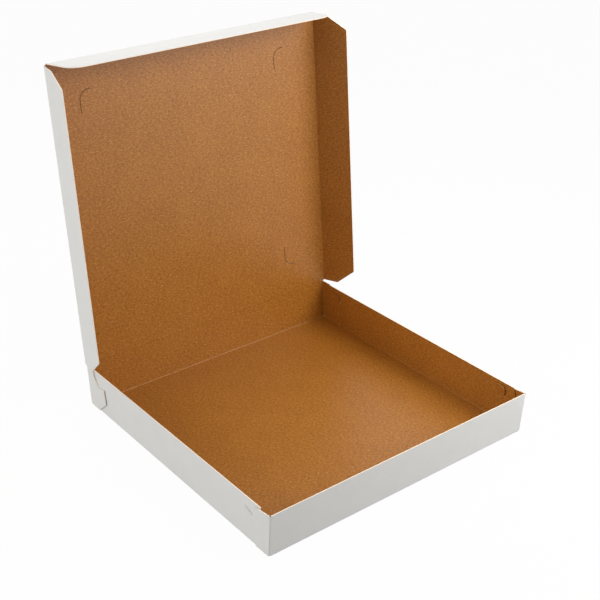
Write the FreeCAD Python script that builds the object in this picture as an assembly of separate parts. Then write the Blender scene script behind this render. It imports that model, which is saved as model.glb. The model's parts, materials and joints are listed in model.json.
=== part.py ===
import FreeCAD, Part
import math
import os

# A folding pizza box, made from one blank of thin board that is white outside and kraft inside.
# The tray stands open: its floor, four walls and four corner tabs are one folded piece.
# The lid stands up from the rear wall, with a crease along each of its other three edges.
# Millimetres. X runs along the front wall, Y to the rear, Z up, origin under the floor's middle.

# Board and creases
board = 0.6
fold_radius = 0.3
fold_leg = 1.8
crease_gap = 0.3

# Tray
tray_width = 228.6
tray_depth = 228.6
wall_height = 33.5
front_lean = 4.7
rear_lean = 3.0

# Side walls, which stand inside the corner tabs
tab_gap = 0.2
side_end_foot = 0.8
side_end_low = 3.2
side_end_low_height = 2.2
side_end_high = 5.2
side_end_high_height = 25.0
side_end_top = 8.0

# Corner tabs, measured along the side wall from the corner and up from the table
tab_root_inset = 1.35
tab_foot_height = 1.0
tab_foot_length = 13.0
tab_length = 24.6
tab_low_height = 11.0
front_tab_shoulder_length = 13.6
front_tab_shoulder_height = 31.6
rear_tab_top_length = 8.0
rear_tab_shoulder_length = 8.4
rear_tab_shoulder_height = 29.0
tab_top_drop = 0.3

# Lock tongues, which pass through a slit in the side wall
slit_clearance = 0.2
neck_length = 8.8
front_neck_distance = 20.4
front_neck_height = 24.4
front_neck_slope = 20.0
rear_neck_distance = 18.6
rear_neck_height = 21.8
rear_neck_slope = 8.0
tongue_reach = 6.4
tongue_gap = 0.2

# Lid
lid_angle = 93.6
lid_length = 228.0

# Half-moon cuts in the lid, their stems measured from its left edge, their middles from its ends
moon_width = 0.35
left_moon_inset = 22.4
right_moon_inset = 189.2
moon_from_hinge = 33.3
moon_from_front = 30.3
moon_height = 16.2
moon_hook = 8.6
moon_hook_height = 6.4
moon_bow = 2.6
moon_bow_height = 4.6

# Side flaps of the lid
side_flap_depth = 31.0
side_flap_rear_gap = 0.9
side_flap_front_gap = 1.2
side_flap_rear_flat = 14.2
side_flap_rear_rise = 14.0
side_flap_front_step = 13.0
side_flap_front_drop = 1.0
side_flap_front_slope = 10.6
side_flap_round = 1.0
left_flap_angle = 83.2
right_flap_angle = 72.5

# Front flap of the lid
front_flap_depth = 31.0
front_flap_end_gap = 0.9
front_flap_taper = 4.0
front_flap_round = 11.0
front_flap_angle = 88.0

# Worked out from the sizes above
outer_radius = fold_radius + board
half_width = tray_width / 2
half_depth = tray_depth / 2
side_wall_face = half_width - board - tab_gap
tongue_face = side_wall_face - board - tongue_gap
half_board = board / 2
hinge_rise = half_board + crease_gap
hinge_z = wall_height + hinge_rise
rear_slope = math.tan(math.radians(rear_lean))
front_slope = math.tan(math.radians(front_lean))
hinge_y = half_depth + hinge_z * rear_slope - half_board / math.cos(math.radians(rear_lean))
flap_axis_x = half_width + hinge_rise
flap_root_end = half_width - front_flap_end_gap
tab_top = wall_height - tab_top_drop
front_shoulder = [(front_tab_shoulder_length, front_tab_shoulder_height)]
rear_shoulder = [(rear_tab_top_length, tab_top), (rear_tab_shoulder_length, rear_tab_shoulder_height)]

X_AXIS = FreeCAD.Vector(1, 0, 0)
Y_AXIS = FreeCAD.Vector(0, 1, 0)
Z_AXIS = FreeCAD.Vector(0, 0, 1)
ORIGIN = FreeCAD.Vector(0, 0, 0)


def sharp_offset(points, axis, distance):
    """Offsets a polyline sideways, to the side of axis x direction, with its corners kept sharp."""
    sides = []
    for start, end in zip(points, points[1:]):
        direction = (end - start).normalize()
        sides.append(axis.cross(direction))
    moved = [points[0] + sides[0] * distance]
    for corner, before, after in zip(points[1:-1], sides, sides[1:]):
        moved.append(corner + (before + after) * (distance / (1 + before.dot(after))))
    moved.append(points[-1] + sides[-1] * distance)
    return moved


def rounded_path(points, radii):
    """Makes the edges of a polyline whose inner corners have the given radii (0 stays sharp)."""
    edges = []
    last = points[0]
    for index, radius in enumerate(radii):
        corner = points[index + 1]
        if radius <= 0:
            edges.append(Part.LineSegment(last, corner).toShape())
            last = corner
            continue
        back = (points[index] - corner).normalize()
        ahead = (points[index + 2] - corner).normalize()
        half_angle = back.getAngle(ahead) / 2
        start = corner + back * (radius / math.tan(half_angle))
        end = corner + ahead * (radius / math.tan(half_angle))
        middle_way = (back + ahead).normalize()
        middle = corner + middle_way * (radius / math.sin(half_angle) - radius)
        edges.append(Part.LineSegment(last, start).toShape())
        edges.append(Part.Arc(start, middle, end).toShape())
        last = end
    edges.append(Part.LineSegment(last, points[-1]).toShape())
    return edges


def folded_sheet(outer_points, axis, length):
    """Extrudes a board that follows the outer points, with a rounded fold at each corner."""
    inner_points = sharp_offset(outer_points, axis, board)
    folds = len(outer_points) - 2
    edges = rounded_path(outer_points, [outer_radius] * folds)
    edges += rounded_path(inner_points, [fold_radius] * folds)
    edges.append(Part.LineSegment(outer_points[0], inner_points[0]).toShape())
    edges.append(Part.LineSegment(outer_points[-1], inner_points[-1]).toShape())
    wire = Part.Wire(Part.__sortEdges__(edges))
    return Part.Face(wire).extrude(axis * length)


def plate(points, radii, extrusion):
    """Extrudes a closed outline, whose corners after the first point have the given radii."""
    closed = points + [points[0]]
    wire = Part.Wire(rounded_path(closed, radii))
    return Part.Face(wire).extrude(extrusion)


def side_plate(outline, outer_face, side):
    """Makes a board plate along a side wall. The outline holds (Y, Z) pairs, side is -1 or 1."""
    points = [FreeCAD.Vector(side * outer_face, y, z) for y, z in outline]
    return plate(points, [0] * (len(points) - 1), X_AXIS * (-side * board))


def floor_with_stubs():
    """Makes the floor with the front and rear folds and the feet of those two walls."""
    points = [
        FreeCAD.Vector(0, -half_depth - fold_leg * front_slope, fold_leg),
        FreeCAD.Vector(0, -half_depth, 0),
        FreeCAD.Vector(0, half_depth, 0),
        FreeCAD.Vector(0, half_depth + fold_leg * rear_slope, fold_leg),
    ]
    half = side_wall_face - outer_radius
    sheet = folded_sheet(points, X_AXIS, 2 * half)
    sheet.translate(X_AXIS * -half)
    return sheet


def slit_frame(end):
    """Gives a slit's middle and its two directions in (Y, Z). The end is -1 at the front."""
    distance, height, degrees = rear_neck_distance, rear_neck_height, rear_neck_slope
    if end < 0:
        distance, height, degrees = front_neck_distance, front_neck_height, front_neck_slope
    slope = math.radians(degrees)
    middle = FreeCAD.Vector(0, end * (half_depth - distance), height)
    along = FreeCAD.Vector(0, -end * math.cos(slope), math.sin(slope))
    across = FreeCAD.Vector(0, end * math.sin(slope), math.cos(slope))
    return middle, along, across


def slit_block(side, end, length, width, inner_face, outer_face):
    """Makes a block that lies along a slit, from one face beside the wall to the other."""
    middle, along, across = slit_frame(end)
    corners = []
    for run, rise in ((-1, -1), (1, -1), (1, 1), (-1, 1)):
        corner = middle + along * (run * length / 2) + across * (rise * width / 2)
        corner.x = side * inner_face
        corners.append(corner)
    return plate(corners, [0, 0, 0], X_AXIS * (side * (outer_face - inner_face)))


def side_walls():
    """Makes both side walls with their floor folds, trimmed ends and lock slits."""
    points = [
        FreeCAD.Vector(-side_wall_face, 0, wall_height),
        FreeCAD.Vector(-side_wall_face, 0, 0),
        FreeCAD.Vector(side_wall_face, 0, 0),
        FreeCAD.Vector(side_wall_face, 0, wall_height),
    ]
    points.reverse()
    sheet = folded_sheet(points, Y_AXIS, tray_depth)
    sheet.translate(Y_AXIS * -half_depth)
    outline = [
        (-half_depth + side_end_foot, 0),
        (half_depth - side_end_foot, 0),
        (half_depth - side_end_low, side_end_low_height),
        (half_depth - side_end_high, side_end_high_height),
        (half_depth - side_end_top, wall_height),
        (-half_depth + side_end_top, wall_height),
        (-half_depth + side_end_high, side_end_high_height),
        (-half_depth + side_end_low, side_end_low_height),
    ]
    corners = [FreeCAD.Vector(-half_width, y, z) for y, z in outline]
    walls = sheet.common(plate(corners, [0] * (len(corners) - 1), X_AXIS * tray_width))
    slit_length = neck_length + 2 * slit_clearance
    slit_width = board + 2 * slit_clearance
    for side in (-1, 1):
        for end in (-1, 1):
            slit = slit_block(side, end, slit_length, slit_width, tongue_face, half_width)
            walls = walls.cut(slit)
    return walls


def end_wall(end, slope):
    """Makes the front (-1) or rear (1) wall with the folds that lead into its corner tabs."""
    length = math.hypot(1, slope) * wall_height
    up = FreeCAD.Vector(0, end * slope, 1).normalize()
    inward = FreeCAD.Vector(0, -end, slope).normalize()
    foot = FreeCAD.Vector(0, end * half_depth, 0)
    left = foot - X_AXIS * half_width
    right = foot + X_AXIS * half_width
    points = [left + inward * fold_leg, left, right, right + inward * fold_leg]
    if end > 0:
        points.reverse()
    sheet = folded_sheet(points, up, length + board)
    sheet.translate(up * outer_radius)
    return sheet


def tab(side, end, slope, shoulder):
    """Makes one corner tab, which lies outside the side wall. The shoulder holds its upper corners."""
    root_top = half_depth + tab_top * slope - tab_root_inset
    root_foot = half_depth + tab_foot_height * slope - tab_root_inset
    middle, along, across = slit_frame(end)
    throat = middle - along * (neck_length / 2) + across * half_board
    hook = middle + along * (neck_length / 2) + across * half_board
    outline = [(end * root_top, tab_top)]
    for length, height in shoulder:
        outline.append((end * (half_depth - length), height))
    outline += [
        (throat.y, throat.z),
        (hook.y, hook.z),
        (end * (half_depth - tab_length), tab_low_height),
        (end * (half_depth - tab_foot_length), tab_foot_height),
        (end * root_foot, tab_foot_height),
    ]
    return side_plate(outline, half_width, side)


def lock_tongue(side, end):
    """Makes the neck through the slit and the round tongue that it carries inside the wall."""
    neck = slit_block(side, end, neck_length, board, tongue_face - board, half_width)
    middle, along, across = slit_frame(end)
    face = X_AXIS * (side * tongue_face)
    half_neck = neck_length / 2
    first = middle - along * half_neck - across * half_board + face
    last = middle + along * half_neck - across * half_board + face
    crown = middle + along * (half_neck / 2) + across * tongue_reach + face
    arc = Part.Arc(last, crown, first).toShape()
    base = Part.LineSegment(first, last).toShape()
    tongue = Part.Face(Part.Wire([base, arc])).extrude(X_AXIS * (-side * board))
    return neck.fuse(tongue)


def make_tray():
    """Joins the folded tray and trims all its walls to one height."""
    parts = [side_walls(), end_wall(-1, front_slope), end_wall(1, rear_slope)]
    for side in (-1, 1):
        parts.append(tab(side, -1, front_slope, front_shoulder))
        parts.append(tab(side, 1, rear_slope, rear_shoulder))
        parts.append(lock_tongue(side, -1))
        parts.append(lock_tongue(side, 1))
    tray = floor_with_stubs().fuse(parts)
    lean_reach = wall_height * max(front_slope, rear_slope) + board
    room = half_depth + lean_reach
    corner = FreeCAD.Vector(-half_width, -room, 0)
    height_limit = Part.makeBox(tray_width, 2 * room, wall_height, corner)
    return tray.common(height_limit).removeSplitter()


def moon_cut(left, middle, way):
    """Makes one half-moon cut about its middle. The way is 1 if its hook is at the front end."""
    foot = middle - way * moon_height / 2
    neck = middle + way * (moon_height / 2 - moon_hook_height)
    half = moon_width / 2
    corner = FreeCAD.Vector(left - half, min(foot, neck), -half_board)
    stem = Part.makeBox(moon_width, moon_height - moon_hook_height, board, corner)
    bends = []
    for offset in (-half, half):
        start = FreeCAD.Vector(left + offset, neck, -half_board)
        bow = FreeCAD.Vector(left + moon_bow + offset, neck + way * (moon_bow_height - offset), -half_board)
        stop = FreeCAD.Vector(left + moon_hook, neck + way * (moon_hook_height - offset), -half_board)
        bends.append(Part.Arc(start, bow, stop).toShape())
    hook = Part.makeRuledSurface(bends[0], bends[1]).extrude(Z_AXIS * board)
    return stem.fuse(hook)


def make_lid_panel():
    """Makes the lid panel flat, with its hinge edge on the X axis and its inside facing up."""
    reach = lid_length - hinge_rise
    panel = Part.makeBox(tray_width, reach, board, FreeCAD.Vector(-half_width, 0, -half_board))
    edge = Part.makeCylinder(half_board, tray_width, FreeCAD.Vector(-half_width, 0, 0), X_AXIS)
    panel = panel.fuse(edge).removeSplitter()
    for inset in (left_moon_inset, right_moon_inset):
        left = inset - half_width
        panel = panel.cut(moon_cut(left, lid_length - moon_from_front, 1))
        panel = panel.cut(moon_cut(left, moon_from_hinge, -1))
    return panel


def make_side_flap(side, angle):
    """Makes a side flap of the lid, flat beside the panel, then folds it up by the angle."""
    front = lid_length - side_flap_front_gap
    outline = [
        (0, side_flap_rear_gap),
        (side_flap_rear_flat, side_flap_rear_gap),
        (side_flap_depth, side_flap_rear_rise),
        (side_flap_depth, front - side_flap_front_slope),
        (side_flap_front_step, front - side_flap_front_drop),
        (0, front),
    ]
    points = [FreeCAD.Vector(side * w, h, -half_board) for w, h in outline]
    flap = plate(points, [0, 0, side_flap_round, 0, 0], Z_AXIS * board)
    root = FreeCAD.Vector(0, side_flap_rear_gap, 0)
    root_length = front - side_flap_rear_gap
    flap = flap.fuse(Part.makeCylinder(half_board, root_length, root, Y_AXIS)).removeSplitter()
    flap.rotate(ORIGIN, Y_AXIS, -side * angle)
    flap.translate(X_AXIS * (side * flap_axis_x))
    return flap


def make_front_flap(angle):
    """Makes the front flap of the lid, flat past the panel, then folds it up by the angle."""
    tip = flap_root_end - front_flap_taper
    outline = [(-flap_root_end, 0), (-tip, front_flap_depth), (tip, front_flap_depth), (flap_root_end, 0)]
    points = [FreeCAD.Vector(x, w, -half_board) for x, w in outline]
    flap = plate(points, [front_flap_round, front_flap_round, 0], Z_AXIS * board)
    root = FreeCAD.Vector(-flap_root_end, 0, 0)
    flap = flap.fuse(Part.makeCylinder(half_board, 2 * flap_root_end, root, X_AXIS)).removeSplitter()
    flap.rotate(ORIGIN, X_AXIS, angle)
    flap.translate(Y_AXIS * lid_length)
    return flap


def raise_with_lid(shape):
    """Turns a flat piece of the lid up to the open lid's angle and sets it on the hinge."""
    shape.rotate(ORIGIN, X_AXIS, 180 - lid_angle)
    shape.translate(FreeCAD.Vector(0, hinge_y, hinge_z))
    return shape


pieces = {
    "tray": make_tray(),
    "lid_panel": raise_with_lid(make_lid_panel()),
    "lid_left_flap": raise_with_lid(make_side_flap(-1, left_flap_angle)),
    "lid_right_flap": raise_with_lid(make_side_flap(1, right_flap_angle)),
    "lid_front_flap": raise_with_lid(make_front_flap(front_flap_angle)),
}

os.makedirs("parts", exist_ok=True)
for name, shape in pieces.items():
    shape.exportStep(os.path.join("parts", name + ".step"))
    box = shape.BoundBox
    print(name, "solids", len(shape.Solids), "valid", shape.isValid(), "volume", round(shape.Volume, 1),
          "X", round(box.XMin, 2), round(box.XMax, 2), "Y", round(box.YMin, 2), round(box.YMax, 2),
          "Z", round(box.ZMin, 2), round(box.ZMax, 2))
print("hinge", round(hinge_y, 3), round(hinge_z, 3), "flap axis", round(flap_axis_x, 3))
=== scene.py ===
"""Looks of a folding pizza box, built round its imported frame.

The box is one blank of thin folding board, white clay-coated outside and bare kraft inside.
Each panel that moves is a sheet of its own here: the tray, the lid and the lid's three flaps.
"""
import json
import logging
import math
from abc import ABC, abstractmethod
from collections.abc import Callable
from dataclasses import dataclass
from enum import Enum, IntEnum

import bmesh
import bpy
from mathutils import Matrix, Vector


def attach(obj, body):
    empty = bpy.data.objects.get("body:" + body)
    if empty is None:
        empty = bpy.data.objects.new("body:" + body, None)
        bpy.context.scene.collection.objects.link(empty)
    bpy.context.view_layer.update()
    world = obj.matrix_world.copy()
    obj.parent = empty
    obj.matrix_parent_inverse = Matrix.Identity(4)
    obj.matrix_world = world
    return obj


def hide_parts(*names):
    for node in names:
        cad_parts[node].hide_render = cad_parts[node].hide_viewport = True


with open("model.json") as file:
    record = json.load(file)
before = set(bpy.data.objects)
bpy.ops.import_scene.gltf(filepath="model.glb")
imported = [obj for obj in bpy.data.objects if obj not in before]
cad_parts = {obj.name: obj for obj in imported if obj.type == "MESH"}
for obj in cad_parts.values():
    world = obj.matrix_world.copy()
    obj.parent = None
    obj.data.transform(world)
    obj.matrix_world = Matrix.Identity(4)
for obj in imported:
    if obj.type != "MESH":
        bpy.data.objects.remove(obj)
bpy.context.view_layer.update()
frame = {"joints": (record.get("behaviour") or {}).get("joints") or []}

Tree, Node, Socket = bpy.types.NodeTree, bpy.types.Node, bpy.types.NodeSocket

LOG = logging.getLogger("pizza_box")
JOINTS = {joint["name"]: joint for joint in frame["joints"]}
MM = 0.001
# Two places that are closer than this, in millimetres, are the same place.
NEAR = 0.01
# A cut passes through corners that are closer to it than this, in metres.
CUT_SNAP = 1e-7
SMOOTH_DEGREES = 32
DOWN = Vector((0.0, 0.0, -1.0))


class Side(Enum):
    """The left or right side of the box, as the sign of X."""

    LEFT = -1
    RIGHT = 1


class End(Enum):
    """The front or hinged rear of the tray, as the sign of Y."""

    FRONT = -1
    REAR = 1


class Face(IntEnum):
    """The material slots of every sheet of board, in their order."""

    COAT = 0
    KRAFT = 1
    COAT_CREASE = 2
    KRAFT_CREASE = 3
    CUT_EDGE = 4
    # Painted shade on the walls inside the slits.
    SLIT_SHADE = 5


def linear(code: str) -> tuple[float, float, float, float]:
    """Turns an sRGB hex colour into the linear one that the shaders use.

    Args:
        code: Six hex digits after a hash sign.

    Returns:
        Red, green, blue and an alpha of 1.
    """
    channels = [int(code[start:start + 2], 16) / 255 for start in (1, 3, 5)]
    red, green, blue = [
        c / 12.92 if c <= 0.04045 else ((c + 0.055) / 1.055) ** 2.4 for c in channels
    ]
    return red, green, blue, 1.0


def add_node(
    tree: Tree, kind: str, settings: dict | None = None, inputs: dict | None = None
) -> Node:
    """Adds a node with its settings and links.

    Args:
        tree: The material's or world's node tree.
        kind: The node's type.
        settings: Property names and their values.
        inputs: Input names or numbers, each with a value or the output that feeds it.

    Returns:
        The new node.
    """
    node = tree.nodes.new(kind)
    for name, value in (settings or {}).items():
        setattr(node, name, value)
    for name, value in (inputs or {}).items():
        if isinstance(value, Socket):
            tree.links.new(value, node.inputs[name])
        else:
            node.inputs[name].default_value = value
    return node


def new_material(name: str) -> tuple[bpy.types.Material, Tree]:
    """Makes an empty node material.

    Args:
        name: The material's name.

    Returns:
        The material and its node tree.
    """
    material = bpy.data.materials.new(name)
    material.use_nodes = True
    material.node_tree.nodes.clear()
    return material, material.node_tree


def tint(
    tree: Tree, under: Socket | tuple, over: str, pattern: Node, start: float, full: float,
    most: float = 1.0
) -> Socket:
    """Lays a second colour over a first one where a pattern is strong.

    Args:
        tree: The material's node tree.
        under: The first colour.
        over: The second colour, as six hex digits after a hash sign.
        pattern: The node whose first output is the pattern.
        start: The pattern's value where the second colour begins to show.
        full: Its value where the second colour shows most.
        most: How much of the second colour shows there.

    Returns:
        The mixed colour.
    """
    cover = add_node(tree, "ShaderNodeMapRange", None, {
        "Value": pattern.outputs[0], "From Min": start, "From Max": full, "To Max": most})
    mixed = add_node(tree, "ShaderNodeMix", {"data_type": "RGBA"}, {
        "Factor": cover.outputs["Result"], 6: under, 7: linear(over)})
    return mixed.outputs[2]


@dataclass(frozen=True)
class BoardFace(ABC):
    """One face of the board: a mottled colour and a fine relief under a light gloss."""

    name: str
    tone: str
    roughness: float
    gloss: float
    relief_mm: float
    relief_strength: float

    @abstractmethod
    def pattern(self, tree: Tree, place: Node) -> tuple[Socket, Node]:
        """Draws the face's colour and its relief.

        Args:
            tree: The material's node tree.
            place: The texture coordinates.

        Returns:
            The colour, and the node whose first output is the relief's height.
        """

    def make(self) -> bpy.types.Material:
        """Builds the face's material."""
        material, tree = new_material(self.name)
        colour, height = self.pattern(tree, add_node(tree, "ShaderNodeTexCoord"))
        relief = add_node(tree, "ShaderNodeBump", None, {
            "Strength": self.relief_strength, "Distance": self.relief_mm * MM,
            "Height": height.outputs[0]})
        board = add_node(tree, "ShaderNodeBsdfPrincipled", None, {
            "Base Color": colour, "Roughness": self.roughness,
            "Specular IOR Level": self.gloss, "Normal": relief.outputs["Normal"]})
        add_node(tree, "ShaderNodeOutputMaterial", None, {"Surface": board.outputs[0]})
        return material


@dataclass(frozen=True)
class KraftFace(BoardFace):
    """Uncoated kraft board, as it leaves the paper machine.

    Long brown wood fibres lie in the sheet, mostly along the machine direction. To the eye that is
    a matt brown with fine light and dark hairs, a few bark specks, and soft cloudy patches where
    the fibres lie thicker.
    """

    name: str = "uncoated_kraft_board"
    tone: str = "#AB6C1C"
    cloud: str = "#A36415"
    deep: str = "#80490B"
    pale: str = "#C48E45"
    speck: str = "#5C3711"
    cloud_mm: float = 22.0
    # Real fibres are about 0.03 mm wide, too fine for the picture, so bundles of them are drawn.
    fibre_width_mm: float = 0.8
    fibre_length_mm: float = 2.2
    fibre_turns: tuple[float, float] = (12.0, -38.0)
    speck_mm: float = 1.8
    roughness: float = 0.42
    gloss: float = 0.6
    relief_mm: float = 0.03
    relief_strength: float = 0.35

    def pattern(self, tree: Tree, place: Node) -> tuple[Socket, Node]:
        """Draws the patches, the fibres and the specks.

        Args:
            tree: The material's node tree.
            place: The texture coordinates.

        Returns:
            The colour, and the fibres, which are the relief too.
        """
        clouds = add_node(tree, "ShaderNodeTexNoise", None, {
            "Vector": place.outputs["Object"], "Scale": 1 / (self.cloud_mm * MM),
            "Detail": 3.0, "Roughness": 0.55})
        layers = []
        for turn in self.fibre_turns:
            grain = add_node(tree, "ShaderNodeMapping", None, {
                "Vector": place.outputs["UV"], "Rotation": (0.0, 0.0, math.radians(turn)),
                "Scale": (1 / (self.fibre_length_mm * MM), 1 / (self.fibre_width_mm * MM), 1.0)})
            layers.append(add_node(tree, "ShaderNodeTexNoise", None, {
                "Vector": grain.outputs["Vector"], "Scale": 1.0, "Detail": 2.0,
                "Roughness": 0.6, "Distortion": 0.4}))
        fibres = add_node(tree, "ShaderNodeMath", {"operation": "ADD"}, {
            0: layers[0].outputs[0], 1: layers[1].outputs[0]})
        specks = add_node(tree, "ShaderNodeTexNoise", None, {
            "Vector": place.outputs["UV"], "Scale": 1 / (self.speck_mm * MM), "Detail": 2.0})
        colour = tint(tree, linear(self.cloud), self.tone, clouds, start=0.3, full=0.7)
        # Over the patches lie the light hairs, the dark hairs, the bark specks and the pale flecks.
        colour = tint(tree, colour, self.pale, fibres, start=1.0, full=1.35, most=0.75)
        colour = tint(tree, colour, self.deep, fibres, start=1.0, full=0.7, most=0.75)
        colour = tint(tree, colour, self.speck, specks, start=0.4, full=0.28, most=0.6)
        colour = tint(tree, colour, self.pale, specks, start=0.6, full=0.72, most=0.7)
        return colour, fibres


@dataclass(frozen=True)
class ClayCoat(BoardFace):
    """Clay coating that was bladed on and calendered.

    It fills the fibres, so the eye gets an even white with a soft satin sheen, very slightly
    mottled where the brown board shows through.
    """

    name: str = "calendered_clay_coat"
    tone: str = "#E6E5E2"
    shade: str = "#E3E2DE"
    mottle_mm: float = 12.0
    # The real coat's grain is some 0.02 mm. It is drawn at 0.8 mm so that it shows at all.
    grain_mm: float = 0.8
    roughness: float = 0.48
    gloss: float = 0.4
    relief_mm: float = 0.006
    relief_strength: float = 0.5

    def pattern(self, tree: Tree, place: Node) -> tuple[Socket, Node]:
        """Draws the faint mottle and the coat's grain.

        Args:
            tree: The material's node tree.
            place: The texture coordinates.

        Returns:
            The colour, and the grain.
        """
        mottle = add_node(tree, "ShaderNodeTexNoise", None, {
            "Vector": place.outputs["Object"], "Scale": 1 / (self.mottle_mm * MM),
            "Detail": 4.0, "Roughness": 0.5})
        grain = add_node(tree, "ShaderNodeTexNoise", None, {
            "Vector": place.outputs["UV"], "Scale": 1 / (self.grain_mm * MM), "Detail": 2.0})
        return tint(tree, linear(self.tone), self.shade, mottle, start=0.35, full=0.75), grain


@dataclass(frozen=True)
class CutEdge(BoardFace):
    """The die-cut edge of the board.

    The knife bares the pale core between coat and kraft and leaves it slightly furry, so a thin
    cream line runs round every panel, with faint plies in it.
    """

    name: str = "die_cut_board_edge"
    tone: str = "#FFF1DD"
    ply: str = "#F6DCB6"
    ply_mm: float = 0.9
    roughness: float = 0.9
    gloss: float = 0.25
    relief_mm: float = 0.03
    relief_strength: float = 0.6

    def pattern(self, tree: Tree, place: Node) -> tuple[Socket, Node]:
        """Draws the plies.

        Args:
            tree: The material's node tree.
            place: The texture coordinates.

        Returns:
            The colour, and the plies, which are the relief too.
        """
        plies = add_node(tree, "ShaderNodeTexNoise", None, {
            "Vector": place.outputs["Object"], "Scale": 1 / (self.ply_mm * MM), "Detail": 3.0})
        return tint(tree, linear(self.tone), self.ply, plies, start=0.45, full=0.75), plies


@dataclass(frozen=True)
class BoardFinish:
    """The six finishes of a sheet of folding board, one for each material slot."""

    coat: ClayCoat = ClayCoat()
    kraft: KraftFace = KraftFace()
    # The score crushes the coat, which dulls and pales it in a line.
    coat_crease: ClayCoat = ClayCoat(
        name="scored_clay_coat", tone="#EFEDEA", shade="#E2DFDA", roughness=0.62)
    # The kraft on the folds is a lighter tone: partly the fibres stretched over the score, partly a
    # painted highlight where the rounded fold catches the light.
    kraft_crease: KraftFace = KraftFace(
        name="scored_kraft_with_painted_highlight", tone="#B3752B", cloud="#AB6C22", deep="#8F5715", pale="#CB9A50")
    edge: CutEdge = CutEdge()
    # The slits' walls are painted a near-black brown: partly the fibres that the knife crushes,
    # mostly painted shade for the little light that reaches into a slit.
    slit_shade: CutEdge = CutEdge(name="crushed_fibres_and_painted_slit_shade", tone="#5A3412", ply="#43240A")

    def make(self) -> list[bpy.types.Material]:
        """Builds the finishes, in the order of Face."""
        faces = (self.coat, self.kraft, self.coat_crease, self.kraft_crease, self.edge,
                 self.slit_shade)
        return [face.make() for face in faces]


def activate(item: bpy.types.Object) -> None:
    """Selects one object alone and makes it the active one."""
    bpy.ops.object.select_all(action="DESELECT")
    item.select_set(True)
    bpy.context.view_layer.objects.active = item


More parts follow.
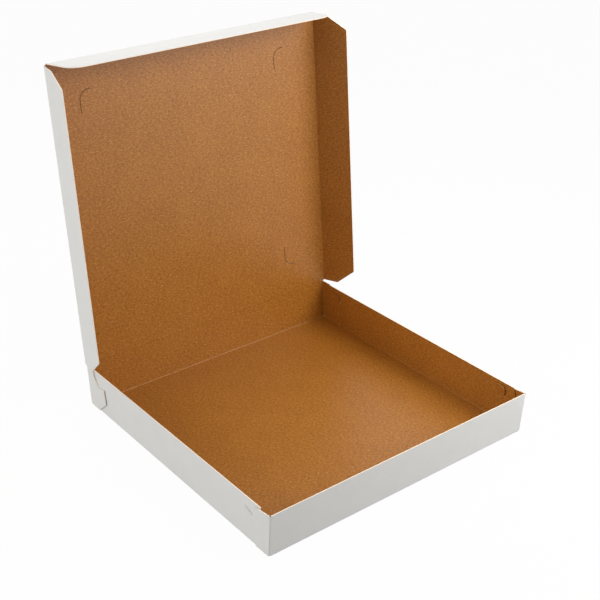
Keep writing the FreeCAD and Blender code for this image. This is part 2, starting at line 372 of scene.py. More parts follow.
class Workpiece:
    """A sheet or cutter that the modelling operators shape. Its sizes are in millimetres."""

    def __init__(
        self, name: str, low: tuple[float, float], high: tuple[float, float], height: float = 0.0
    ) -> None:
        """Starts from a flat rectangle and enters edit mode.

        Args:
            name: The piece's name.
            low: The rectangle's lowest X and Y.
            high: The rectangle's highest X and Y.
            height: The rectangle's Z.
        """
        bpy.ops.object.select_all(action="DESELECT")
        bpy.ops.mesh.primitive_plane_add(size=MM)
        self.item: bpy.types.Object = bpy.context.active_object
        self.item.name = self.item.data.name = name
        bpy.ops.object.mode_set(mode="EDIT")
        width, depth = high[0] - low[0], high[1] - low[1]
        bpy.ops.transform.resize(value=(width, depth, 1.0), center_override=(0.0, 0.0, 0.0))
        self.move(Vector(((low[0] + high[0]) / 2, (low[1] + high[1]) / 2, height)))

    def move(self, offset: Vector) -> None:
        """Moves what is selected by an offset."""
        bpy.ops.transform.translate(value=offset * MM)

    def parts(self, kind: str) -> list:
        """Lists the mesh's vertices, edges or faces.

        Args:
            kind: VERT, EDGE or FACE.

        Returns:
            The parts of that kind.
        """
        self.shape = bmesh.from_edit_mesh(self.item.data)
        sequences = {"VERT": self.shape.verts, "EDGE": self.shape.edges, "FACE": self.shape.faces}
        sequences[kind].ensure_lookup_table()
        return list(sequences[kind])

    @staticmethod
    def middle(part: object) -> Vector:
        """Gives a part's middle.

        Args:
            part: A vertex, edge or face.

        Returns:
            The middle in millimetres.
        """
        corners = [part.co] if hasattr(part, "co") else [v.co for v in part.verts]
        return sum(corners, Vector()) / (len(corners) * MM)

    def pick(
        self, kind: str, test: Callable[[Vector], bool], now: Face | None = None
    ) -> int:
        """Selects only the parts whose middle passes a test.

        Args:
            kind: VERT, EDGE or FACE.
            test: Takes a middle in millimetres.
            now: The material slot that a face must be on, if that matters.

        Returns:
            How many parts are selected.
        """
        bpy.ops.mesh.select_mode(type=kind)
        bpy.ops.mesh.select_all(action="DESELECT")
        chosen = [part for part in self.parts(kind) if test(self.middle(part))
                  and (now is None or part.material_index == now)]
        for part in chosen:
            part.select_set(True)
        bmesh.update_edit_mesh(self.item.data)
        return len(chosen)

    def pick_edge(self, first: Vector, second: Vector) -> None:
        """Selects the one edge between two places.

        Args:
            first: One end.
            second: The other end.

        Raises:
            ValueError: There is no single edge there.
        """
        bpy.ops.mesh.select_mode(type="EDGE")
        bpy.ops.mesh.select_all(action="DESELECT")
        found = 0
        for edge in self.parts("EDGE"):
            ends = [v.co / MM for v in edge.verts]
            for one, two in (ends, ends[::-1]):
                if (one - first).length < NEAR and (two - second).length < NEAR:
                    edge.select_set(True)
                    found += 1
        bmesh.update_edit_mesh(self.item.data)
        if found != 1:
            raise ValueError(f"{self.item.name}: {found} edges from {first} to {second}")

    def extend(self, first: Vector, second: Vector, to_first: Vector, to_second: Vector) -> None:
        """Extrudes an edge and moves its two new ends to their places.

        Args:
            first: The edge's one end.
            second: The edge's other end.
            to_first: Where the new edge's first end goes.
            to_second: Where its second end goes.
        """
        self.pick_edge(first, second)
        bpy.ops.mesh.extrude_edges_indiv()
        fresh = [v.index for v in self.parts("VERT") if v.select]
        bpy.ops.mesh.select_mode(type="VERT")
        for index in fresh:
            bpy.ops.mesh.select_all(action="DESELECT")
            vertex = self.parts("VERT")[index]
            place = vertex.co / MM
            vertex.select_set(True)
            bmesh.update_edit_mesh(self.item.data)
            nearer_first = (place - first).length < (place - second).length
            self.move(to_first - first if nearer_first else to_second - second)

    def chain(self, steps: list[tuple[Vector, Vector]]) -> None:
        """Extends a strip of board from its first pair of places through all the others.

        Args:
            steps: Pairs of places, the first of which is an edge that is there already.
        """
        for (first, second), (to_first, to_second) in zip(steps, steps[1:]):
            self.extend(first, second, to_first, to_second)

    def slice(self, point: Vector, normal: Vector, clear: bool = False) -> None:
        """Bisects what is selected by a plane.

        Args:
            point: A point on the plane.
            normal: The plane's normal.
            clear: Whether to throw away what lies on the normal's side.
        """
        bpy.ops.mesh.bisect(
            plane_co=point * MM, plane_no=normal.normalized(), clear_outer=clear,
            threshold=CUT_SNAP)

    def divide(self, axis: str, place: float) -> None:
        """Divides the whole sheet along a line square to an axis.

        Args:
            axis: X or Y.
            place: Where the line crosses that axis.
        """
        normal = Vector((1.0, 0.0, 0.0)) if axis == "X" else Vector((0.0, 1.0, 0.0))
        bpy.ops.mesh.select_all(action="SELECT")
        self.slice(normal * place, normal)

    def trim(self, point: Vector, outwards: Vector) -> None:
        """Cuts off what lies past a line.

        Args:
            point: A point on the line.
            outwards: Which side of the line is cut off.
        """
        bpy.ops.mesh.select_all(action="SELECT")
        self.slice(point, outwards, clear=True)

    def bevel(self, offset: float, segments: int, corners: bool = False) -> None:
        """Rounds the selected edges, or the selected corners of an outline.

        Args:
            offset: How far from the edge or corner the round starts.
            segments: The round's number of faces.
            corners: Whether vertices are rounded instead of edges.
        """
        bpy.ops.mesh.bevel(
            offset_type="OFFSET", offset=offset * MM, segments=segments,
            affect="VERTICES" if corners else "EDGES")

    def mark(
        self, face: Face, test: Callable[[Vector], bool], now: Face | None = None
    ) -> None:
        """Puts the faces whose middle passes a test on a material slot.

        Args:
            face: The material slot.
            test: Takes a face's middle in millimetres.
            now: The slot that they must be on before, if that matters.
        """
        if self.pick("FACE", test, now):
            self.item.active_material_index = face
            bpy.ops.object.material_slot_assign()

    def dress(self, finishes: list[bpy.types.Material]) -> None:
        """Gives the piece its material slots."""
        for finish in finishes:
            self.item.data.materials.append(finish)

    def turn_coat_down(self, place: Vector) -> None:
        """Makes all faces agree, with the coated side downwards.

        Args:
            place: A place on a level face.
        """
        bpy.ops.mesh.select_mode(type="FACE")
        bpy.ops.mesh.select_all(action="SELECT")
        bpy.ops.mesh.normals_make_consistent(inside=False)
        nearest = min(self.parts("FACE"), key=lambda f: (self.middle(f) - place).length)
        if nearest.normal.dot(DOWN) < 0:
            bpy.ops.mesh.flip_normals()

    def lay_out(self) -> None:
        """Unwraps every face flat at its real size, so that the grain follows each panel."""
        bpy.ops.mesh.select_mode(type="FACE")
        bpy.ops.mesh.select_all(action="SELECT")
        bpy.ops.uv.cube_project(cube_size=1.0, correct_aspect=False)

    def use(self, kind: str, settings: dict) -> None:
        """Adds a modifier and applies it.

        Args:
            kind: The modifier's type.
            settings: Property names and their values.
        """
        bpy.ops.object.mode_set(mode="OBJECT")
        activate(self.item)
        modifier = self.item.modifiers.new(kind.title(), kind)
        for name, value in settings.items():
            setattr(modifier, name, value)
        bpy.ops.object.modifier_apply(modifier=modifier.name)
        bpy.ops.object.mode_set(mode="EDIT")

    def thicken(self, board: float) -> None:
        """Gives the sheet its thickness inwards, with kraft inside and a cut edge all round.

        Args:
            board: The board's thickness.
        """
        self.use("SOLIDIFY", {
            "thickness": board * MM, "offset": -1.0, "use_even_offset": True,
            "material_offset": Face.KRAFT, "material_offset_rim": Face.CUT_EDGE})

    def finish(self, place: Matrix) -> bpy.types.Object:
        """Leaves edit mode and applies the piece's place and its smoothing.

        Args:
            place: The piece's place in the box's frame, in metres.

        Returns:
            The finished object.
        """
        bpy.ops.object.mode_set(mode="OBJECT")
        activate(self.item)
        self.item.matrix_world = place
        bpy.ops.object.transform_apply(location=True, rotation=True, scale=True)
        bpy.ops.object.shade_smooth_by_angle(angle=math.radians(SMOOTH_DEGREES))
        return self.item


@dataclass
class Board:
    """Sizes that the panels share, in millimetres."""

    thickness: float = 0.6
    fold_radius: float = 0.9
    fold_segments: int = 4
    root_segments: int = 3
    score_width: float = 0.8
    half_width: float = 114.3
    lid_length: float = 228.0
    flap_depth: float = 31.0
    front_fold: float = 113.4

    @property
    def half(self) -> float:
        """Half the board's thickness."""
        return self.thickness / 2


@dataclass
class Lock:
    """One corner lock's sizes in millimetres, measured from the tray's corner and its underside.

    Each shoulder is a corner of the tab's upper outline: the distance of the place below it on the
    tab's foot, its own distance, and its height.
    """

    distance: float
    height: float
    slope: float
    shoulders: list[tuple[float, float, float]]


@dataclass
class Tray:
    """The tray: floor, four walls, and four corner tabs locked through the side walls."""

    board: Board
    half_depth: float = 114.3
    wall_height: float = 33.5
    hinge_height: float = 34.1
    front_lean: float = 4.7
    rear_lean: float = 3.0
    side_face: float = 113.5
    relief: float = 1.05
    fold_top: float = 1.2
    end_low: tuple[float, float] = (3.2, 2.2)
    end_high: tuple[float, float] = (5.2, 25.0)
    end_top: float = 8.0
    tab_foot: tuple[float, float] = (13.0, 1.0)
    tab_tip: tuple[float, float] = (24.6, 11.0)
    tab_stand_off: float = 0.25
    neck_length: float = 8.8
    slit_clearance: float = 0.1
    slit_margin: float = 1.0
    tongue_face: float = 112.7
    tongue_reach: float = 6.4
    tongue_lean: float = 0.8
    tongue_round: float = 3.4
    tongue_segments: int = 6

    @property
    def inner(self) -> float:
        """The X where the end walls' folds stop, short of the corners."""
        return self.side_face - self.relief

    @property
    def reach(self) -> float:
        """The Y where the side walls' folds stop, short of the corners."""
        return self.half_depth - self.relief

    def lock(self, end: End) -> Lock:
        """Gives the sizes of the locks at one end."""
        if end is End.FRONT:
            return Lock(distance=20.4, height=24.4, slope=20.0, shoulders=[(13.0, 13.6, 31.6)])
        return Lock(distance=18.6, height=21.8, slope=8.0,
                    shoulders=[(8.0, 8.0, self.wall_height), (13.0, 8.4, 29.0)])

    def slit(self, side: Side, end: End) -> tuple[Vector, Vector, Vector]:
        """Places one slit in its side wall.

        Args:
            side: Which side wall.
            end: Which end of it.

        Returns:
            The slit's middle on the wall's outer face, the way along it, and the way across it.
        """
        lock = self.lock(end)
        angle = math.radians(lock.slope)
        sign = end.value
        middle = Vector((side.value * self.side_face, sign * (self.half_depth - lock.distance),
                         lock.height))
        along = Vector((0.0, -sign * math.cos(angle), math.sin(angle)))
        across = Vector((0.0, sign * math.sin(angle), math.cos(angle)))
        return middle, along, across

    def wall_line(self, end: End, height: float) -> float:
        """Gives the Y of an end wall's outer face at a height, which leans outwards."""
        lean = self.front_lean if end is End.FRONT else self.rear_lean
        return end.value * (self.half_depth + height * math.tan(math.radians(lean)))

    def fold_side_wall(self, sheet: Workpiece, side: Side) -> None:
        """Folds up a side wall with its trimmed ends.

        Args:
            sheet: The tray's sheet.
            side: Which side.
        """
        x = side.value * self.side_face
        outline = [(self.relief, 0.0), (self.relief, self.fold_top), self.end_low, self.end_high,
                   (self.end_top, self.wall_height)]
        steps = []
        for inset, height in outline:
            reach = self.half_depth - inset
            steps.append((Vector((x, -reach, height)), Vector((x, reach, height))))
        sheet.chain(steps)

    def fold_end_wall(self, sheet: Workpiece, end: End) -> None:
        """Folds up the front or rear wall, whose upper part is as wide as the tray.

        Args:
            sheet: The tray's sheet.
            end: Which end.
        """
        foot = self.tab_foot[1]
        top = self.hinge_height if end is End.REAR else self.wall_height
        steps = []
        for height in (0.0, foot, top):
            y = self.wall_line(end, height)
            steps.append((Vector((-self.inner, y, height)), Vector((self.inner, y, height))))
        sheet.chain(steps)
        low, high = self.wall_line(end, foot), self.wall_line(end, top)
        corner = self.wall_line(end, self.wall_height)
        for side in Side:
            x = side.value * self.inner
            wide = side.value * self.board.half_width
            sheet.extend(Vector((x, low, foot)), Vector((x, high, top)),
                         Vector((wide, low, foot)), Vector((wide, corner, self.wall_height)))
            self.fold_tab(sheet, side, end)

    def fold_tab(self, sheet: Workpiece, side: Side, end: End) -> None:
        """Folds a corner tab round the side wall and puts its tongue through the slit.

        Args:
            sheet: The tray's sheet.
            side: Which side.
            end: Which end.
        """
        lock = self.lock(end)
        middle, along, across = self.slit(side, end)
        half_neck = self.neck_length / 2

        def place(distance: float, height: float) -> Vector:
            """Places a point of the tab by its distance from the corner and its height."""
            out = self.board.half_width + self.tab_stand_off * distance / self.tab_tip[0]
            return Vector((side.value * out, end.value * (self.half_depth - distance), height))

        foot, foot_height = self.tab_foot
        tip, tip_height = self.tab_tip
        rise = across * self.board.half
        throat = middle - along * half_neck + rise
        hook = middle + along * half_neck + rise
        throat_distance = self.half_depth - abs(throat.y)
        hook_distance = self.half_depth - abs(hook.y)
        share = (throat_distance - foot) / (tip - foot)
        below_throat = foot_height + share * (tip_height - foot_height)
        x = side.value * self.board.half_width
        steps = [
            (Vector((x, self.wall_line(end, foot_height), foot_height)),
             Vector((x, self.wall_line(end, self.wall_height), self.wall_height))),
            *((place(below, foot_height), place(distance, height))
              for below, distance, height in lock.shoulders),
            (place(throat_distance, below_throat), place(throat_distance, throat.z)),
            (place(tip, tip_height), place(hook_distance, hook.z)),
        ]
        sheet.chain(steps)
        inside = side.value * self.tongue_face
        lean = Vector((-side.value * self.tongue_lean, 0.0, 0.0)) + across * self.tongue_reach
        neck = [Vector((inside, throat.y, throat.z)), Vector((inside, hook.y, hook.z))]
        sheet.chain([
            (steps[-2][1], steps[-1][1]),
            (neck[0], neck[1]),
            (neck[0] + lean, neck[1] + lean),
        ])
        tips = [neck[0] + lean, neck[1] + lean]
        sheet.pick("VERT", lambda p: min((p - t).length for t in tips) < NEAR)
        sheet.bevel(self.tongue_round, self.tongue_segments, corners=True)

    def cut_slit(self, sheet: Workpiece, side: Side, end: End) -> None:
        """Cuts a lock slit in a side wall.

        Args:
            sheet: The tray's sheet.
            side: Which side.
            end: Which end.
        """
        middle, along, across = self.slit(side, end)
        half_length = self.neck_length / 2 + self.slit_clearance
        half_width = self.board.half + self.slit_clearance
        zone = half_length + self.slit_margin

        def on_wall(p: Vector) -> bool:
            """Says whether a place is on the slit's wall."""
            return abs(p.x - middle.x) < NEAR and p.z > NEAR

        def in_zone(p: Vector) -> bool:
            """Says whether a place is on the stretch of wall round the slit."""
            return on_wall(p) and abs(p.y - middle.y) < zone

        for way in (-1, 1):
            sheet.pick("FACE", on_wall)
            sheet.slice(middle + Vector((0.0, way * zone, 0.0)), Vector((0.0, 1.0, 0.0)))
        for way in (-1, 1):
            sheet.pick("FACE", in_zone)
            sheet.slice(middle + across * (way * half_width), across)
            sheet.pick("FACE", in_zone)
            sheet.slice(middle + along * (way * half_length), along)
        if sheet.pick("FACE", lambda p: in_zone(p) and abs((p - middle).dot(across)) < half_width
                      and abs((p - middle).dot(along)) < half_length):
            bpy.ops.mesh.delete(type="FACE")

    def build(self, finishes: list[bpy.types.Material]) -> bpy.types.Object:
        """Builds and dresses the tray.

        Args:
            finishes: The board's materials.

        Returns:
            The tray's sheet.
        """
        sheet = Workpiece("tray_board", (-self.side_face, -self.half_depth),
                          (self.side_face, self.half_depth))
        sheet.dress(finishes)
        for x in (-self.inner, self.inner):
            sheet.divide("X", x)
        for y in (-self.reach, self.reach):
            sheet.divide("Y", y)
        sheet.pick("FACE", lambda p: abs(p.x) > self.inner and abs(p.y) > self.reach)
        bpy.ops.mesh.delete(type="FACE")
        for side in Side:
            self.fold_side_wall(sheet, side)
        for side in Side:
            for end in End:
                self.cut_slit(sheet, side, end)
        for end in End:
            self.fold_end_wall(sheet, end)
        self.round_folds(sheet)
        self.close_corners(sheet)
        sheet.turn_coat_down(Vector())
        self.mark_creases(sheet)
        sheet.lay_out()
        sheet.thicken(self.board.thickness)
        # The rims of the tongues and of the side walls' ends are painted kraft brown, as painted
        # shade.
        sheet.mark(Face.KRAFT, self.on_inner_rim, Face.CUT_EDGE)
        sheet.mark(Face.KRAFT, lambda p: p.z > self.hinge_height - NEAR, Face.CUT_EDGE)
        return sheet.finish(Matrix.Identity(4))

    def on_inner_rim(self, p: Vector) -> bool:
        """Says whether a rim's place is on a lock tongue or a side wall's end.

        Those rims get the kraft brown instead of the cream cut edge: painted shade, as they sit in
        the shade of the tabs.
        """
        low, high = self.board.fold_radius, self.wall_height - self.board.half
        inside = low < p.z < high and abs(p.x) < self.side_face
        return inside and (abs(p.y) > self.half_depth - self.end_top - NEAR
                           or abs(p.x) < self.tongue_face + NEAR)

    def close_corners(self, sheet: Workpiece) -> None:
        """Closes the floor's corners, where its folds meet, with the board that is pressed there."""
        for side in Side:
            for end in End:
                sheet.pick("VERT", lambda p: p.x * side.value > self.inner - NEAR
                           and p.y * end.value > self.reach - NEAR
                           and p.z < self.board.fold_radius + NEAR)
                bpy.ops.mesh.edge_face_add()

    def round_folds(self, sheet: Workpiece) -> None:
        """Rounds the floor's four folds and the four upright ones at the corners."""
        segments = self.board.fold_segments
        sheet.pick("EDGE", lambda p: abs(p.z) < NEAR and (
            abs(abs(p.x) - self.side_face) < NEAR and abs(p.y) < self.reach
            or abs(abs(p.y) - self.half_depth) < NEAR))
        sheet.bevel(self.board.fold_radius, segments)
        sheet.pick("EDGE", lambda p: abs(abs(p.x) - self.board.half_width) < NEAR
                   and abs(p.y) > self.half_depth)
        sheet.bevel(self.board.fold_radius, segments)

    def mark_creases(self, sheet: Workpiece) -> None:
        """Puts the narrow faces of the folds on the scored finish."""
        fold = self.board.fold_radius

        def floor_fold(p: Vector) -> bool:
            """Says whether a place is in a fold of the floor."""
            beside = abs(p.x) > self.side_face - fold or abs(p.y) > self.half_depth - fold
            return NEAR < p.z < fold and beside

        def upright_fold(p: Vector) -> bool:
            """Says whether a place is in the fold between an end wall and a tab."""
            return abs(p.x) > self.board.half_width - fold and abs(p.y) > self.half_depth - fold

        sheet.mark(Face.COAT_CREASE, lambda p: floor_fold(p) or upright_fold(p))


@dataclass
class LidPanel:
    """The lid's main panel with its four half-moon cuts, modelled flat with its inside up."""

    board: Board
    fold_gap: float = 0.6
    side_fold: tuple[float, float] = (0.9, 226.8)
    moon_insets: tuple[float, float] = (22.4, 189.2)
    moon_from_hinge: float = 33.3
    moon_from_front: float = 30.3
    moon_width: float = 0.44
    moon_depth: float = 0.42
    moon_slit: float = 0.06
    moon_height: float = 16.2
    moon_hook: float = 8.6
    moon_hook_height: float = 6.4
    moon_bow: tuple[float, float] = (2.6, 4.6)
    moon_pieces: int = 8

    def moon_cutter(self, width: float, low: float, trim: int) -> Workpiece:
        """Models one half-moon cutter about the origin, its hook towards the lid's front.

        Args:
            width: The cut's width.
            low: The cut's lowest Z.
            trim: How many pieces of the arc its end stops short.

        Returns:
            The cutter.
        """
        half = width / 2
        foot = trim * half - self.moon_height / 2
        neck = self.moon_height / 2 - self.moon_hook_height
        cutter = Workpiece("moon_cutter", (-half, foot), (half, neck), low)
        bow_x, bow_y = self.moon_bow
        line = arc_through(Vector((0.0, neck, 0.0)), Vector((bow_x, neck + bow_y, 0.0)),
                           Vector((self.moon_hook, neck + self.moon_hook_height, 0.0)),
                           self.moon_pieces)
        floor = Vector((0.0, 0.0, low))
        steps = [(Vector((-half, neck, 0.0)) + floor, Vector((half, neck, 0.0)) + floor)]
        for before, place in zip(line, line[1:len(line) - trim]):
            way = (place - before).normalized()
            across = Vector((way.y, -way.x, 0.0)) * half
            steps.append((place - across + floor, place + across + floor))
        cutter.chain(steps)
        bpy.ops.mesh.select_mode(type="FACE")
        bpy.ops.mesh.select_all(action="SELECT")
        bpy.ops.mesh.extrude_region()
        cutter.move(Vector((0.0, 0.0, self.board.thickness - low)))
        bpy.ops.mesh.select_all(action="SELECT")
        bpy.ops.mesh.normals_make_consistent(inside=False)
        bpy.ops.object.mode_set(mode="OBJECT")
        return cutter

    def cut_moons(self, sheet: Workpiece) -> None:
        """Cuts the four half-moons, which gape on the kraft side and are nearly shut outside.

        Args:
            sheet: The lid's sheet.
        """
        groove_floor = self.board.half - self.moon_depth
        left, right = self.moon_insets
        front = (self.board.lid_length - self.moon_from_front, 1)
        rear = (self.moon_from_hinge, -1)
        # The rear left cut has stayed shut in the photo, so it has a slit and no groove.
        gaping = [(left, *front), (right, *front), (right, *rear)]
        for width, low, trim, moons in (
            (self.moon_width, groove_floor, 0, gaping),
            (self.moon_slit, -self.board.thickness, 1, [*gaping, (left, *rear)]),
        ):
            bpy.ops.object.mode_set(mode="OBJECT")
            self.cut_moon_set(sheet, self.moon_cutter(width, low, trim).item, moons)
        # The cuts leave pairs of corners a hair apart, which would be open seams.
        bpy.ops.mesh.select_all(action="SELECT")
        bpy.ops.mesh.remove_doubles(threshold=NEAR * MM)

    def cut_moon_set(
        self, sheet: Workpiece, cutter: bpy.types.Object, moons: list[tuple[float, float, int]]
    ) -> None:
        """Cuts one cutter's shape at several places, then throws the cutter away.

        Args:
            sheet: The lid's sheet.
            cutter: The cutter.
            moons: Each moon's distance from the left edge, its middle's distance from the hinge, and
                1 if its hook is at the front end or -1 if at the rear.
        """
        cutter.data.materials.clear()
        for material in sheet.item.data.materials:
            cutter.data.materials.append(material)
        # Each cut's walls take the slits' painted shade.
        for polygon in cutter.data.polygons:
            polygon.material_index = Face.SLIT_SHADE
        for inset, middle, way in moons:
            bpy.ops.object.mode_set(mode="OBJECT")
            copy = cutter.copy()
            copy.data = cutter.data.copy()
            bpy.context.collection.objects.link(copy)
            activate(copy)
            copy.location = Vector((inset - self.board.half_width, middle, 0.0)) * MM
            copy.scale.y = way
            bpy.ops.object.transform_apply(location=True, rotation=True, scale=True)
            bpy.ops.object.mode_set(mode="EDIT")
            bpy.ops.mesh.select_all(action="SELECT")
            bpy.ops.mesh.normals_make_consistent(inside=False)
            bpy.ops.object.mode_set(mode="OBJECT")
            sheet.use("BOOLEAN", {"operation": "DIFFERENCE", "solver": "EXACT", "object": copy})
            bpy.data.objects.remove(copy)
        bpy.data.objects.remove(cutter)

    def build(self, finishes: list[bpy.types.Material], place: Matrix) -> bpy.types.Object:
        """Builds and dresses the lid panel.

        Args:
            finishes: The board's materials.
            place: The lid's place in the box's frame.

        Returns:
            The lid's sheet.
        """
        score, front_fold = self.board.score_width, self.board.front_fold
        half_width = self.board.half_width
        reach = self.board.lid_length - self.fold_gap
        sheet = Workpiece("lid_board", (-half_width, 0.0), (half_width, reach), -self.board.half)
        sheet.dress(finishes)
        for x in (-front_fold, front_fold):
            sheet.divide("X", x)
        for y in (*self.side_fold, reach - score):
            sheet.divide("Y", y)
        low, high = self.side_fold
        for side in Side:
            sheet.pick("EDGE", lambda p: abs(p.x - side.value * half_width) < NEAR
                       and low < p.y < high)
            bpy.ops.mesh.extrude_edges_indiv()
            sheet.move(Vector((side.value * self.fold_gap, 0.0, 0.0)))
        sheet.pick("EDGE", lambda p: abs(p.y - reach) < NEAR and abs(p.x) < front_fold)
        bpy.ops.mesh.extrude_edges_indiv()
        sheet.move(Vector((0.0, self.fold_gap, 0.0)))
        sheet.turn_coat_down(Vector((0.0, reach / 2, 0.0)))
        sheet.mark(Face.COAT_CREASE, lambda p: p.y < low or p.y > reach - score
                   or abs(p.x) > front_fold)
        sheet.lay_out()
        sheet.thicken(self.board.thickness)
        # The side creases keep the plain kraft, without the lighter crease tone and its painted
        # highlight, so they read as brown as the panel.
        sheet.mark(Face.KRAFT, lambda p: abs(p.x) > front_fold, Face.KRAFT_CREASE)
        round_root(sheet, self.board, "Y")
        self.cut_moons(sheet)
        return sheet.finish(place)


@dataclass
class SideFlap:
    """One side flap of the lid, modelled flat beside its fold line with its inside up."""

    board: Board
    side: Side
    angle: float
    rear_gap: float = 0.9
    front_gap: float = 1.2
    rear_flat: float = 14.2
    rear_rise: float = 14.0
    front_step: float = 13.0
    front_drop: float = 1.0
    front_slope: float = 10.6
    corner_cut: float = 0.6
    corner_segments: int = 3
    fold_line: float = 114.9

    def build(self, finishes: list[bpy.types.Material], lid: Matrix) -> bpy.types.Object:
        """Builds and dresses the flap.

        Args:
            finishes: The board's materials.
            lid: The lid's place in the box's frame.

        Returns:
            The flap's sheet.
        """
        front = self.board.lid_length - self.front_gap
        depth = self.board.flap_depth
        sign = self.side.value
        name = f"{self.side.name.lower()}_flap_board"
        sheet = Workpiece(name, (min(0.0, sign * depth), self.rear_gap),
                          (max(0.0, sign * depth), front), -self.board.half)
        sheet.dress(finishes)
        outline = [
            (self.rear_flat, self.rear_gap), (depth, self.rear_rise),
            (depth, front - self.front_slope), (self.front_step, front - self.front_drop),
            (0.0, front),
        ]
        places = [Vector((sign * width, height, 0.0)) for width, height in outline]
        for start, stop in ((0, 1), (2, 3), (3, 4)):
            way = places[stop] - places[start]
            sheet.trim(places[start], Vector((way.y, -way.x, 0.0)) * sign)
        sheet.divide("X", sign * self.board.score_width)
        corner = places[2] - Vector((0.0, 0.0, self.board.half))
        sheet.pick("VERT", lambda p: (p - corner).length < NEAR)
        sheet.bevel(self.corner_cut, self.corner_segments, corners=True)
        sheet.turn_coat_down(Vector((sign * depth / 2, front / 2, 0.0)))
        sheet.mark(Face.COAT_CREASE, lambda p: abs(p.x) < self.board.score_width)
        sheet.lay_out()
        sheet.thicken(self.board.thickness)
        round_root(sheet, self.board, "X")
        turn = Matrix.Rotation(math.radians(-sign * self.angle), 4, "Y")
        return sheet.finish(lid @ Matrix.Translation((sign * self.fold_line * MM, 0, 0)) @ turn)


@dataclass
class FrontFlap:
    """The front flap of the lid, modelled flat past its fold line with its inside up."""

    board: Board
    angle: float
    twist: float = 1.0
    taper: float = 4.0
    corner_cut: float = 9.7
    corner_segments: int = 8
    columns: int = 16

    def build(self, finishes: list[bpy.types.Material], lid: Matrix) -> bpy.types.Object:
        """Builds and dresses the flap, slightly twisted, as the pictured one has sprung.

        Args:
            finishes: The board's materials.
            lid: The lid's place in the box's frame.

        Returns:
            The flap's sheet.
        """
        half_root, depth = self.board.front_fold, self.board.flap_depth
        sheet = Workpiece("front_flap_board", (-half_root, 0.0), (half_root, depth),
                          -self.board.half)
        sheet.dress(finishes)
        tips = []
        for side in Side:
            sheet.trim(Vector((side.value * half_root, 0.0, 0.0)),
                       Vector((side.value * depth, self.taper, 0.0)))
            tips.append(Vector((side.value * (half_root - self.taper), depth, -self.board.half)))
        sheet.pick("VERT", lambda p: min((p - tip).length for tip in tips) < NEAR)
        sheet.bevel(self.corner_cut, self.corner_segments, corners=True)
        bpy.ops.mesh.select_mode(type="FACE")
        sheet.divide("Y", self.board.score_width)
        pitch = 2 * half_root / self.columns
        for number in range(1, self.columns):
            sheet.divide("X", number * pitch - half_root)
        sheet.turn_coat_down(Vector((0.0, depth / 2, 0.0)))
        sheet.mark(Face.COAT_CREASE, lambda p: p.y < self.board.score_width)
        sheet.lay_out()
        sheet.thicken(self.board.thickness)
        round_root(sheet, self.board, "Y")
        sheet.use("SIMPLE_DEFORM", {"deform_method": "TWIST", "deform_axis": "X",
                                    "angle": math.radians(-self.twist)})
        turn = Matrix.Rotation(math.radians(self.angle), 4, "X")
        return sheet.finish(lid @ Matrix.Translation((0, self.board.lid_length * MM, 0)) @ turn)


def round_root(sheet: Workpiece, board: Board, axis: str) -> None:
    """Rounds a panel's edge on its fold line, so that it turns there without a gap.

    Args:
        sheet: The panel's thickened sheet, which starts at its fold line.
        board: The board's sizes.
        axis: The axis that crosses the fold line, X or Y.
    """
    number = "XY".index(axis)
    sheet.pick("EDGE", lambda p: abs(p[number]) < NEAR and abs(abs(p.z) - board.half) < NEAR)
    sheet.bevel(board.half - NEAR, board.root_segments)


def arc_through(start: Vector, middle: Vector, stop: Vector, pieces: int) -> list[Vector]:
    """Divides the flat arc through three places.

    Args:
        start: The arc's start.
        middle: A place on the arc.
        stop: The arc's end.
        pieces: How many pieces to make.

    Returns:
        The places along the arc, with both ends.
    """
    ax, ay, bx, by = middle.x - start.x, middle.y - start.y, stop.x - start.x, stop.y - start.y
    cross = 2 * (ax * by - ay * bx)
    a_square, b_square = ax * ax + ay * ay, bx * bx + by * by
    centre = start + Vector((by * a_square - ay * b_square, ax * b_square - bx * a_square, 0)) / cross
    first, last = start - centre, stop - centre
    sweep = -first.xy.angle_signed(last.xy)
    return [centre + Matrix.Rotation(sweep * step / pieces, 3, "Z") @ first
            for step in range(pieces + 1)]


@dataclass
class PizzaBox:
    """The whole box: its tray, the raised lid and the lid's flaps."""

    board: Board

    def lid_place(self) -> Matrix:
        """Gives the raised lid's place from its flat modelling pose, in metres."""
        # The lid is modelled open flat, half a turn from shut, and the joint's low limit is shut.
        hinge = JOINTS["lid_hinge"]
        raised = 180 + hinge["range_deg"][0]
        return Matrix.Translation(hinge["pos_m"]) @ Matrix.Rotation(math.radians(raised), 4, "X")

    @staticmethod
    def flap_angle(joint: str) -> float:
        """Gives how far a flap stands up from flat with the lid, which is its joint's high limit."""
        return JOINTS[joint]["range_deg"][1]

    def build(self) -> None:
        """Builds every sheet and ties it to its body."""
        finishes = BoardFinish().make()
        lid = self.lid_place()
        left = SideFlap(self.board, Side.LEFT, self.flap_angle("left_flap_fold"))
        right = SideFlap(self.board, Side.RIGHT, self.flap_angle("right_flap_fold"))
        front = FrontFlap(self.board, self.flap_angle("front_flap_fold"))
        sheets = [
            (Tray(self.board).build(finishes), "tray", "tray"),
            (LidPanel(self.board).build(finishes, lid), "lid", "lid_panel"),
            (left.build(finishes, lid), "left_flap", "lid_left_flap"),
            (right.build(finishes, lid), "right_flap", "lid_right_flap"),
            (front.build(finishes, lid), "front_flap", "lid_front_flap"),
        ]
        for sheet, body, node in sheets:
            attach(sheet, body)
            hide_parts(node)
            LOG.info("%s: %d faces, rides on %s", sheet.name, len(sheet.data.polygons), body)


@dataclass
class Lamp:
    """A square softbox's name, its place and side in metres, and its power in watts."""

    name: str
    place: tuple[float, float, float]
    side: float
    power: float


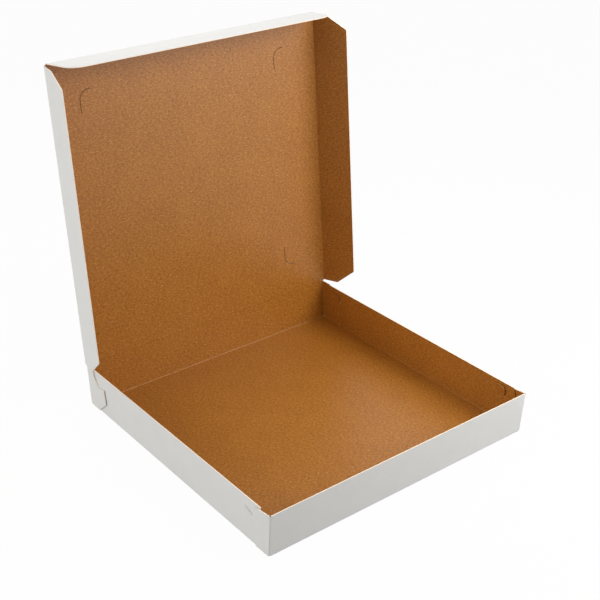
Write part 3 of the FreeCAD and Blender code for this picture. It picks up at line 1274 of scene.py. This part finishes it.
@dataclass
class Studio:
    """The pale floor, the soft lamps and the camera at the photograph's angle."""

    camera_place: tuple[float, float, float] = (-0.4445, -0.5814, 0.4783)
    camera_turn: float = 37.41
    camera_down: float = 27.41
    camera_roll: float = -0.6
    focal_pixels: float = 1160.2
    image_pixels: float = 600.0
    sensor_mm: float = 36.0
    nearest_seen: float = 0.01
    floor_size: float = 12.0
    floor_drop: float = 0.0004
    floor_glow_share: float = 0.93
    floor_glow: float = 1.04
    world_light: float = 0.42
    lamp_aim: tuple[float, float, float] = (0.0, 0.05, 0.1)
    lamps: tuple[Lamp, ...] = (
        Lamp("key_softbox", (0.3, -0.34, 0.4), side=0.4, power=2.75),
        Lamp("left_fill", (-1.4, 0.2, 0.48), side=1.0, power=9.5),
        Lamp("rear_top_light", (0.0, 0.3, 0.6), side=0.3, power=0.8),
    )

    def build(self) -> None:
        """Builds the studio."""
        self.add_camera()
        self.add_floor()
        self.light_world()
        for lamp in self.lamps:
            self.add_lamp(lamp)
        bpy.context.scene.view_settings.view_transform = "Standard"

    def add_camera(self) -> None:
        """Adds the camera with the photograph's place, turn and focal length."""
        bpy.ops.object.camera_add()
        camera = bpy.context.active_object
        camera.data.sensor_width = self.sensor_mm
        camera.data.lens = self.focal_pixels / self.image_pixels * self.sensor_mm
        camera.data.clip_start = self.nearest_seen
        heading = Matrix.Rotation(math.radians(-self.camera_turn), 4, "Z")
        pitch = Matrix.Rotation(math.radians(90 - self.camera_down), 4, "X")
        roll = Matrix.Rotation(math.radians(self.camera_roll), 4, "Z")
        camera.matrix_world = Matrix.Translation(self.camera_place) @ heading @ pitch @ roll
        bpy.context.scene.camera = camera

    def add_floor(self) -> None:
        """Adds a pale floor, which the camera sees nearly white with the box's soft shadow."""
        bpy.ops.mesh.primitive_plane_add(size=self.floor_size, location=(0, 0, -self.floor_drop))
        floor = bpy.context.active_object
        floor.name = "studio_floor"
        material, tree = new_material("pale_studio_floor")
        shown = add_node(tree, "ShaderNodeMath", {"operation": "MULTIPLY"}, {
            0: self.seen_directly(tree), 1: self.floor_glow_share})
        paint = add_node(tree, "ShaderNodeBsdfDiffuse", None, {"Color": linear("#9A9A99")})
        glow = add_node(tree, "ShaderNodeEmission", None, {
            "Color": linear("#FFFFFF"), "Strength": self.floor_glow})
        mix = add_node(tree, "ShaderNodeMixShader", None, {
            0: shown.outputs[0], 1: paint.outputs[0], 2: glow.outputs[0]})
        add_node(tree, "ShaderNodeOutputMaterial", None, {"Surface": mix.outputs[0]})
        floor.data.materials.append(material)

    @staticmethod
    def seen_directly(tree: Tree) -> Socket:
        """Gives 1 to what the camera and the gloss see, and 0 to the light on the box.

        Args:
            tree: The floor's or the world's node tree.

        Returns:
            The output with that number.
        """
        path = add_node(tree, "ShaderNodeLightPath")
        return add_node(tree, "ShaderNodeMath", {"operation": "MAXIMUM"}, {
            0: path.outputs["Is Camera Ray"], 1: path.outputs["Is Glossy Ray"]}).outputs[0]

    def light_world(self) -> None:
        """Gives the surroundings a soft grey light, seen as plain white by the camera."""
        world = bpy.data.worlds.new("studio_world")
        world.use_nodes = True
        tree = world.node_tree
        tree.nodes.clear()
        soft = add_node(tree, "ShaderNodeBackground", None, {
            "Color": linear("#FFFFFF"), "Strength": self.world_light})
        white = add_node(tree, "ShaderNodeBackground", None, {"Color": linear("#FFFFFF")})
        mix = add_node(tree, "ShaderNodeMixShader", None, {
            0: self.seen_directly(tree), 1: soft.outputs[0], 2: white.outputs[0]})
        add_node(tree, "ShaderNodeOutputWorld", None, {"Surface": mix.outputs[0]})
        bpy.context.scene.world = world

    def add_lamp(self, lamp: Lamp) -> None:
        """Adds a lamp that points at the box's middle."""
        bpy.ops.object.light_add(type="AREA", location=lamp.place)
        softbox = bpy.context.active_object
        softbox.name = lamp.name
        softbox.data.size = lamp.side
        softbox.data.energy = lamp.power
        softbox.visible_camera = False
        aim = Vector(self.lamp_aim) - Vector(lamp.place)
        softbox.rotation_euler = aim.to_track_quat("-Z", "Y").to_euler()


def main() -> None:
    """Builds the studio and the box."""
    logging.basicConfig(level=logging.INFO, format="%(name)s: %(message)s")
    Studio().build()
    PizzaBox(Board()).build()


if __name__ == "__main__":
    main()
